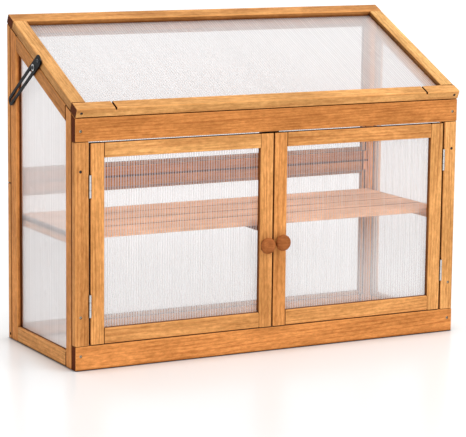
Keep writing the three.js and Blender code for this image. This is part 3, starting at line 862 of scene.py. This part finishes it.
def store_recess(mesh, node, through, coords):
    """Marks for the painted shade the faces of a frame's board that look at its sheet, more the
    deeper they lie, and the lid's outer edges; and what a sheet covers, which gets none: the lip,
    and the ends of shelf and cleats."""
    values = mesh.attributes["recess"].data

    def mark(face, value):
        for corner in face.loop_indices:
            values[corner].value = value

    if node == "shelf" or "cleat" in node:
        for face in mesh.polygons:
            if abs(face.normal.x) > SQUARE_ABOVE:
                mark(face, COVERED)
    sheets = [
        name for name in frame["nodes"]
        if name.endswith("sheet") and node.startswith(name.removesuffix("sheet"))
    ]
    if not sheets:
        return
    corners = [vert.co for vert in frame["nodes"][sheets[0]].data.vertices]
    depths = [co.dot(through) for co in corners]
    near, far = min(depths), max(depths)
    middle = sum(corners, Vector()) / len(corners)
    low, high = min(c.z for c in coords), max(c.z for c in coords)
    outer, glass = (high, far) if high - far > near - low else (low, near)
    start, end = REVEALS.get(node, REVEALS["side" if "side" in node else "frame"])
    lid_stile = node.startswith("lid") and "stile" in node
    for face in mesh.polygons:
        level = sum(coords[k].z for k in face.vertices) / len(face.vertices)
        flat = abs(face.normal.dot(through))
        inward = face.normal.dot(Vector((CENTER_X, 0, level)) - face.center) > 0
        lip = min(level - low, high - level) > LIP
        if flat > SQUARE_ABOVE and (lip or (is_soft(node) and inward)):
            mark(face, COVERED)
        # the lid's outer side faces, for their painted shade
        elif lid_stile and abs(face.normal.x) > SQUARE_ABOVE and not inward:
            mark(face, LID_EDGE)
        elif flat < EDGEWISE_BELOW and face.normal.dot(middle - face.center) > 0:
            for corner in face.loop_indices:
                depth = coords[mesh.loops[corner].vertex_index].z
                share = (depth - outer) / (glass - outer)
                values[corner].value = start + (end - start) * min(max(share, 0.0), 1.0)


def board(node, rng, holes=()):
    obj = placed(drilled(eased(cleaned(node), arris(node)), holes), node, "board")
    store_grain(obj, node, grain_axes(node), rng, strips=STRIPS if node == "shelf" else 1)


# Sheets
def sheet_axes(node):
    """Unit vectors across the flutes, along them and through the sheet."""
    if node == "lid_sheet":
        return X, UP_SLOPE, OFF_SLOPE
    if "side" in node:
        return Y, Z, X
    return X, Z, Y


def sheet(node):
    """A closed slab of the node's outline, dipped along every rib line on both faces."""
    axes = across, up, through = sheet_axes(node)
    points = [
        [vert.co.dot(axis) for axis in axes] for vert in frame["nodes"][node].data.vertices
    ]
    start, end = min(p[0] for p in points), max(p[0] for p in points)
    front, back = min(p[2] for p in points), max(p[2] for p in points)
    at_start = [p[1] for p in points if p[0] < start + NEARLY]
    at_end = [p[1] for p in points if p[0] > end - NEARLY]
    count = int((end - start - RIB_WIDTH) / FLUTE_PITCH)
    first = (start + end - count * FLUTE_PITCH) / 2
    stations = [(start, 0.0)]
    for rib in range(count + 1):
        center = first + rib * FLUTE_PITCH
        stations += [(center - RIB_WIDTH / 2, 0.0), (center, RIB_DIP)]
        stations += [(center + RIB_WIDTH / 2, 0.0)]
    stations.append((end, 0.0))
    bm = bmesh.new()
    layer = bm.verts.layers.float.new("flute")
    rings = []
    for place, dip in stations:
        share = (place - start) / (end - start)
        low = min(at_start) + (min(at_end) - min(at_start)) * share
        high = max(at_start) + (max(at_end) - max(at_start)) * share
        corners = ((low, front + dip), (high, front + dip), (high, back - dip), (low, back - dip))
        ring = [bm.verts.new(across * place + up * u + through * n) for u, n in corners]
        for vert in ring:
            vert[layer] = (place - first) / FLUTE_PITCH
        rings.append(ring)
    for ring, following in zip(rings, rings[1:]):
        for corner in range(4):
            other = (corner + 1) % 4
            bm.faces.new((ring[corner], ring[other], following[other], following[corner]))
    bm.faces.new(rings[0][::-1])
    bm.faces.new(rings[-1])
    bmesh.ops.recalc_face_normals(bm, faces=bm.faces)
    part = next(part for part in VEILS if part in node)
    obj = add_object(f"{node}_fluted", bm, sheet_materials[part])
    seat(obj, body_of_node[node])
    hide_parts(node)


# Screws
def recessed(bm, radius, top):
    """The head with a tapering cross sunk in its top."""
    reach, arm = radius * CROSS_REACH, radius * CROSS_ARM
    for turn in (0, math.pi / 2):
        bar = box_mesh((-reach, -arm, -CROSS_DEPTH), (reach, arm, CROSS_RISE))
        for vert in bar.verts:
            if vert.co.z < 0:
                vert.co.x *= CROSS_FOOT
        place = Matrix.Translation((0, 0, top)) @ Matrix.Rotation(turn, 4, "Z")
        bm = combined(bm, moved(bar, place), "DIFFERENCE")
    return bm


def screw(radius, height):
    """A countersunk head with a softened rim. Its foot lies at zero."""
    profile = [
        (0, 0), (radius * SCREW_FOOT, 0), (radius, height - SCREW_RIM),
        (radius - SCREW_RIM, height), (radius * SCREW_FLAT, height), (0, height),
    ]
    return recessed(lathe(profile, SCREW_STEPS), radius, height)


def screws(name, body, places, material, radius, height, sink):
    """One object of like screws, each at a place on the wood with the face's normal."""
    rng = random.Random(name)
    one = screw(radius, height)
    heads = []
    for place, normal in places:
        turn = Matrix.Rotation(rng.random() * SCREW_TURN, 4, "Z")
        foot = Matrix.Translation((0, 0, -height - sink)) @ turn
        heads.append(moved(one.copy(), facing_out(place, normal) @ foot))
    one.free()
    seat(weighted(add_object(name, merged(*heads), material)), body)


# Hardware
def hardware(node):
    """A metal or plastic node with its sharp edges eased."""
    placed(eased(cleaned(node), METAL_EASE, METAL_CORNER), node, "finish")


def knob(node):
    """Turned ball on a neck and a small foot, its front a little flattened."""
    low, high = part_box(node)
    foot = Vector(((low.x + high.x) / 2, high.y, (low.z + high.z) / 2))
    neck_angle = math.acos(KNOB_NECK / KNOB_RADIUS)
    under = (KNOB_EQUATOR - KNOB_FOOT_HEIGHT) / 2 / math.sin(neck_angle)
    profile = [
        (0, 0), (KNOB_FOOT - KNOB_FOOT_RIM, 0), (KNOB_FOOT, KNOB_FOOT_RIM),
        (KNOB_FOOT, KNOB_FOOT_HEIGHT / 2), (KNOB_NECK + KNOB_NECK_ROUND, KNOB_FOOT_HEIGHT),
    ]
    for step in range(KNOB_ARC_STEPS):
        angle = neck_angle * (1 - step / KNOB_ARC_STEPS)
        profile.append((KNOB_RADIUS * math.cos(angle), KNOB_EQUATOR - under * math.sin(angle)))
    for step in range(KNOB_ARC_STEPS):
        angle = math.pi / 2 * step / KNOB_ARC_STEPS
        rise = (KNOB_LENGTH - KNOB_EQUATOR) * math.sin(angle)
        profile.append((KNOB_RADIUS * math.cos(angle), KNOB_EQUATOR + rise))
    profile.append((0, KNOB_LENGTH))
    turned = placed(moved(lathe(profile, KNOB_STEPS), basis(foot, X, Z, -Y)), node, "turned")
    store_grain(turned, node, (X, Z, Y), random.Random(node), ends_shown=False)


def leaf(fixed):
    """Half a butt hinge: own Z along the barrel, own Y along the leaf, its plate on the +X side
    of a fixed leaf and on the -X side of a moving one."""
    side = 1 if fixed else -1
    near, far = sorted((side * LEAF_INNER, side * LEAF_OUTER))
    half = LEAF_HEIGHT / 2
    plate_start = KNUCKLE_RADIUS + KNUCKLE_GAP
    whole = box_mesh((near, plate_start, -half), (far, LEAF_WIDTH, half))
    corners = [
        edge for edge in whole.edges
        if all(vert.co.y > LEAF_WIDTH - NEARLY for vert in edge.verts)
        and abs(edge.verts[0].co.z - edge.verts[1].co.z) < NEARLY
    ]
    rounded_corners(whole, corners, LEAF_CORNER, PLATE_CORNER_STEPS)
    knuckle = (LEAF_HEIGHT - 2 * KNUCKLE_GAP) / 3
    if fixed:
        spans = (-half, knuckle - half), (half - knuckle, half)
    else:
        spans = ((-knuckle / 2, knuckle / 2),)
    for low, high in spans:
        arm = box_mesh((near, 0, low), (far, plate_start + OVERRUN, high))
        whole = combined(whole, arm, "UNION")
        profile = [
            (0, low), (KNUCKLE_RADIUS - KNUCKLE_RIM, low), (KNUCKLE_RADIUS, low + KNUCKLE_RIM),
            (KNUCKLE_RADIUS, high - KNUCKLE_RIM), (KNUCKLE_RADIUS - KNUCKLE_RIM, high), (0, high),
        ]
        whole = combined(whole, lathe(profile, SCREW_STEPS), "UNION")
    if fixed:
        return combined(whole, rod(PIN_RADIUS, -half, half, PIN_STEPS), "UNION")
    return combined(whole, rod(KNUCKLE_BORE, -half, half, PIN_STEPS), "DIFFERENCE")


def hinge(node, leaves):
    """A leaf in place of its node, with three screws on the side away from the wood."""
    fixed = node.endswith("pin_leaf")
    low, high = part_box(node)
    center = (low + high) / 2
    if node.startswith("lid"):
        joint = joint_place["lid_hinge"]
        across, along = (-Y, -Z) if fixed else (UP_SLOPE, OFF_SLOPE)
        place = basis(Vector((center.x, joint.y, joint.z)), across, along, X)
    else:
        side = -1 if node.startswith("left") else 1
        joint = joint_place[node.split("_")[0] + "_door_hinge"]
        place = basis(Vector((joint.x, joint.y, center.z)), side * X, Y, side * Z)
    placed(moved(leaves[fixed].copy(), place), node, "leaf")
    side = 1 if fixed else -1
    outward = place.to_3x3() @ Vector((-side, 0, 0))
    middle = (KNUCKLE_RADIUS + KNUCKLE_GAP + LEAF_WIDTH) / 2
    places = [
        (place @ Vector((side * LEAF_INNER, middle, rise * LEAF_SCREW_SPACING)), outward)
        for rise in (-1, 0, 1)
    ]
    screws(
        f"{node}_screws", body_of_node[node], places, materials["zinc"], LEAF_SCREW_RADIUS,
        LEAF_SCREW_HEIGHT, -LEAF_SCREW_PROUD,
    )


def strike_plate(side):
    """Steel plate let into the lock stile's inner face, where the catch holds it, with a screw."""
    stile_low, stile_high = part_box(f"{side}_door_lock_stile")
    catch_low, catch_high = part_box("door_catch")
    rim = Vector((STRIKE_RIM, -STRIKE_PROUD, STRIKE_RIM))
    low = Vector((max(stile_low.x, catch_low.x), stile_high.y - STRIKE_THICK, catch_low.z)) + rim
    high = Vector((min(stile_high.x, catch_high.x), stile_high.y, stile_high.z)) - rim
    plate = box_mesh(low, high)
    corners = [
        edge for edge in plate.edges
        if abs((edge.verts[0].co - edge.verts[1].co).dot(Y)) > STRIKE_THICK / 2
    ]
    rounded_corners(plate, corners, STRIKE_CORNER, STRIKE_CORNER_STEPS)
    place = Vector(((low.x + high.x) / 2, high.y, (low.z + high.z) / 2))
    plate = drilled(plate, [(place, Y, STRIKE_SCREW + STRIKE_SINK, STRIKE_THICK / 2)])
    body = f"{side}_door"
    name = f"{body}_strike_plate"
    seat(weighted(add_object(name, plate, materials["zinc"])), body)
    screws(
        f"{name}_screw", body, [(place, Y)], materials["zinc"], STRIKE_SCREW,
        STRIKE_THICK / 2 - STRIKE_SINK, STRIKE_SINK,
    )


def stud(node, shank, head, washer=0):
    """Spacer, shank and washer, and on them a dark round head with a cross recess."""
    low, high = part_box(node)
    start = SHANK_END + (WASHER_THICK if washer else 0)
    profile = [(0, STUD_FOOT), (SPACER_RADIUS, STUD_FOOT), (SPACER_RADIUS, SPACER_END)]
    profile += [(shank, SPACER_END), (shank, SHANK_END)]
    if washer:
        profile += [(washer, SHANK_END), (washer, start - WASHER_RIM), (washer - WASHER_RIM, start)]
    profile.append((0, start))
    dome = [(0, start), (head, start)]
    for step in range(1, DOME_STEPS + 1):
        angle = math.pi / 2 * step / DOME_STEPS
        rise = (STUD_HEAD_HEIGHT - STUD_HEAD_RIM) * math.sin(angle) + STUD_HEAD_RIM
        dome.append((head * math.cos(angle) if step < DOME_STEPS else 0, start + rise))
    place = facing_out(Vector((LEFT, (low.y + high.y) / 2, (low.z + high.z) / 2)), -X)
    placed(moved(lathe(profile), place), node, "turned")
    head_mesh = moved(recessed(lathe(dome), head, start + STUD_HEAD_HEIGHT), place)
    cap = add_object(f"{node}_head", head_mesh, dark_steel)
    seat(weighted(cap), body_of_node[node])


# Screws in the boards' faces, and their holes
ends = (LEFT + SCREW_INSET, RIGHT - SCREW_INSET)
front_screws = {
    "front_plinth": [Vector((x, FRONT, PLINTH_SCREW)) for x in ends],
    "front_fascia": [Vector((x, FRONT, FASCIA_SCREW)) for x in ends],
    "front_left_stile": [Vector((ends[0], FRONT, z)) for z in STILE_SCREWS],
    "front_right_stile": [Vector((ends[1], FRONT, z)) for z in STILE_SCREWS],
}
dark_headed = [front_screws[f"front_{side}_stile"][1] for side in ("left", "right")]
bright = [p for places in front_screws.values() for p in places if p not in dark_headed]
lid_rail = [vert.co for vert in frame["nodes"]["lid_front_rail"].data.vertices]
lid_edge = min(co.dot(UP_SLOPE) for co in lid_rail)
lid_under = min(co.dot(OFF_SLOPE) for co in lid_rail)
lid_screws = [x * X + lid_edge * UP_SLOPE + (lid_under + LID_SCREW) * OFF_SLOPE for x in ends]
for name, body, material, normal, places in (
    ("front_screws", "cabinet", screw_material, -Y, bright),
    ("front_tarnished_screws", "cabinet", dark_steel, -Y, dark_headed),
    ("lid_end_screws", "lid", dark_steel, -UP_SLOPE, lid_screws),
):
    seats = [(place, normal) for place in places]
    screws(name, body, seats, material, SCREW_RADIUS, SCREW_HEIGHT, SCREW_SINK)
SCREW_HOLE = (HOLE_RADIUS, SCREW_SINK + SCREW_HEIGHT)
holes = {
    node: [(place, -Y, *SCREW_HOLE) for place in places] for node, places in front_screws.items()
}
holes["lid_front_rail"] = [(place, -UP_SLOPE, *SCREW_HOLE) for place in lid_screws]
holes["back_lower_left_stile"] = [
    (Vector((LEFT, BACK - PILOT_HOLE, PILOT_HOLE)), -X, PILOT_RADIUS, PILOT_DEPTH)
]

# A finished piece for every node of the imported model
leaves = {fixed: leaf(fixed) for fixed in (False, True)}
rng = random.Random(SEED)
for node in sorted(frame["nodes"]):
    slot = slot_of_node[node]
    if slot == "glazing":
        sheet(node)
    elif slot in ("timber", "shelf_timber"):
        board(node, rng, holes.get(node, ()))
    elif slot == "knob_wood":
        knob(node)
    elif node.endswith("leaf"):
        hinge(node, leaves)
    elif node == "stay_slot_bush":
        stud(node, BUSH_SHANK, BUSH_HEAD, WASHER_RADIUS)
    elif node == "stay_lid_screw":
        stud(node, LID_SHANK, LID_HEAD)
    else:
        hardware(node)
for mesh in leaves.values():
    mesh.free()
for side in ("left", "right"):
    strike_plate(side)


# Floor, backdrop, light and camera
def seen_directly(shader):
    """1 for the rays that show the background: from the camera, and off or through a surface."""
    rays = shader.add("ShaderNodeLightPath").node.outputs
    seen = shader.math("MAXIMUM", rays["Is Camera Ray"], rays["Is Glossy Ray"])
    return shader.math("MAXIMUM", seen, rays["Is Transmission Ray"])


def floor():
    """White paper with a faint sheen, which takes the object's shadow and a painted contact shadow.
    Its own glow, seen only, grows away from the object as the lamps' light falls off, and fades
    near the object as painted shadow."""
    shader = Shader(bpy.data.materials.new("white_floor"))
    place = shader.add("ShaderNodeTexCoord", output="Object")
    away = shader.add("ShaderNodeVectorMath", {0: place}, output="Value", operation="LENGTH")
    lift = shader.spread(away, FLOOR_NEAR, FLOOR_FAR, GLOW_NEAR, GLOW_FAR, smooth=False)
    # painted shadow: the glow fades near the object
    fade = shader.spread(shader.open_air(CONTACT, samples=16), 0.4, 1.0, 0.0, 1.0)
    lift = shader.math("MULTIPLY", lift, fade)
    # painted contact shadow: the paper darkens right by the object
    near = shader.spread(shader.open_air(TOUCH, samples=16), 0.45, 0.95)
    paper = shader.add(
        "ShaderNodeBsdfDiffuse", {"Color": shader.blend(near, FLOOR_DARK, FLOOR_WHITE)}
    )
    glow = shader.add(
        "ShaderNodeEmission",
        {"Color": WHITE, "Strength": shader.math("MULTIPLY", seen_directly(shader), lift)},
    )
    lit = shader.add("ShaderNodeAddShader", {0: paper, 1: glow})
    gloss = shader.add("ShaderNodeBsdfGlossy", {"Color": WHITE, "Roughness": FLOOR_ROUGHNESS})
    surface = shader.add("ShaderNodeMixShader", {0: FLOOR_SHEEN, 1: lit, 2: gloss})
    bm = bmesh.new()
    bmesh.ops.create_grid(bm, x_segments=1, y_segments=1, size=FLOOR_SIZE)
    ground = add_object("floor", bm, shader.finish(surface))


def backdrop():
    """White where it is seen, and dimmer as a source of light."""
    shader = Shader(bpy.data.worlds.new("studio"))
    strength = shader.spread(seen_directly(shader), 0.0, 1.0, AMBIENT, 1.0, smooth=False)
    surface = shader.add("ShaderNodeBackground", {"Color": WHITE, "Strength": strength})
    bpy.context.scene.world = shader.finish(surface)


def lamp(name, place, target, size, power):
    light = bpy.data.lights.new(name, "AREA")
    light.shape = "SQUARE"
    light.size = size
    light.energy = power
    obj = bpy.data.objects.new(name, light)
    obj.location = place
    obj.rotation_euler = (Vector(target) - Vector(place)).to_track_quat("-Z", "Y").to_euler()
    bpy.context.scene.collection.objects.link(obj)


def camera():
    forward = Vector((
        math.sin(CAMERA_YAW) * math.cos(CAMERA_PITCH),
        math.cos(CAMERA_YAW) * math.cos(CAMERA_PITCH),
        -math.sin(CAMERA_PITCH),
    ))
    level = Vector((math.cos(CAMERA_YAW), -math.sin(CAMERA_YAW), 0))
    upright = level.cross(forward)
    right = math.cos(CAMERA_ROLL) * level + math.sin(CAMERA_ROLL) * upright
    up = -math.sin(CAMERA_ROLL) * level + math.cos(CAMERA_ROLL) * upright
    lens = bpy.data.cameras.new("camera")
    lens.sensor_width = SENSOR
    lens.lens = FOCAL_PIXELS / IMAGE_WIDTH * SENSOR
    lens.clip_end = VIEW_END
    obj = bpy.data.objects.new("camera", lens)
    obj.matrix_world = basis(CAMERA_PLACE, right, up, -forward)
    bpy.context.scene.collection.objects.link(obj)
    bpy.context.scene.camera = obj


floor()
backdrop()
for name, settings in LAMPS.items():
    lamp(name, *settings)
camera()
bpy.context.scene.view_settings.view_transform = "Standard"
